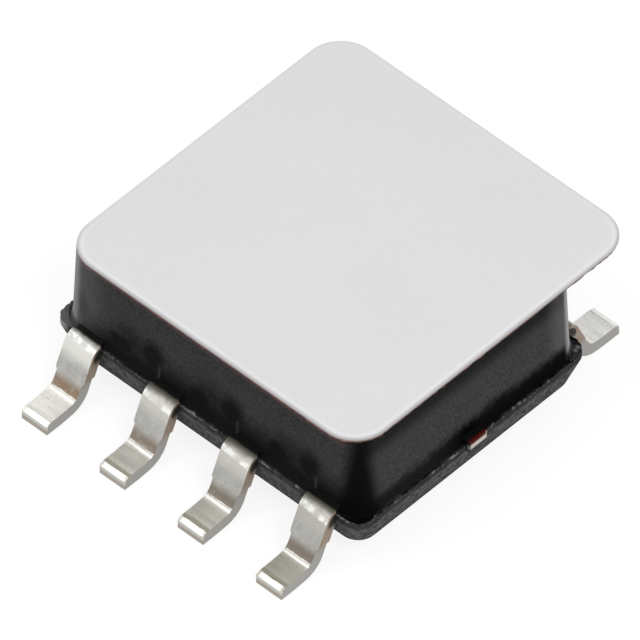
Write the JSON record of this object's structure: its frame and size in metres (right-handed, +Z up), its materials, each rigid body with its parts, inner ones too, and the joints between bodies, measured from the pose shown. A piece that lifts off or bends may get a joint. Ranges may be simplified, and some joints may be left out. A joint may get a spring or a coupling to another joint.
{
  "type": "surface-mount sensor chip",
  "caption": "Small-outline surface-mount sensor chip: black moulded cavity housing, two rows of tinned gull-wing leads, and a white peel-off film over the top.",
  "frame": {"origin": "centre of the body, on the plane that the eight feet stand on", "axes": "+X along the two rows of leads, +Y across the rows towards the side where the cover overhangs as a tab, +Z up from the board"},
  "size_m": [0.0052, 0.0058, 0.0021],
  "materials": {
    "moulding": "matte black moulding compound, rougher on the flange",
    "tinned_lead": "satin tin plate on copper alloy, bare copper at the cut ends",
    "copper_frame": "bare copper alloy",
    "die_bond": "silver-filled epoxy",
    "silicon": "polished silicon",
    "bond_gold": "drawn gold wire",
    "adhesive": "amber pressure-sensitive adhesive",
    "film": "smooth matte white film"
  },
  "bodies": {
    "root": {"housing": "moulding", "lead_1": "tinned_lead", "lead_2": "tinned_lead", "lead_3": "tinned_lead", "lead_4": "tinned_lead", "lead_5": "tinned_lead", "lead_6": "tinned_lead", "lead_7": "tinned_lead", "lead_8": "tinned_lead", "die_paddle": "copper_frame", "die_attach": "die_bond", "sensor_die": "silicon", "bond_wire_1": "bond_gold", "bond_wire_2": "bond_gold", "bond_wire_3": "bond_gold", "bond_wire_4": "bond_gold", "bond_wire_5": "bond_gold", "bond_wire_6": "bond_gold", "bond_wire_7": "bond_gold", "bond_wire_8": "bond_gold", "cover_adhesive": "adhesive", "cover_film": "film"}
  },
  "joints": []
}
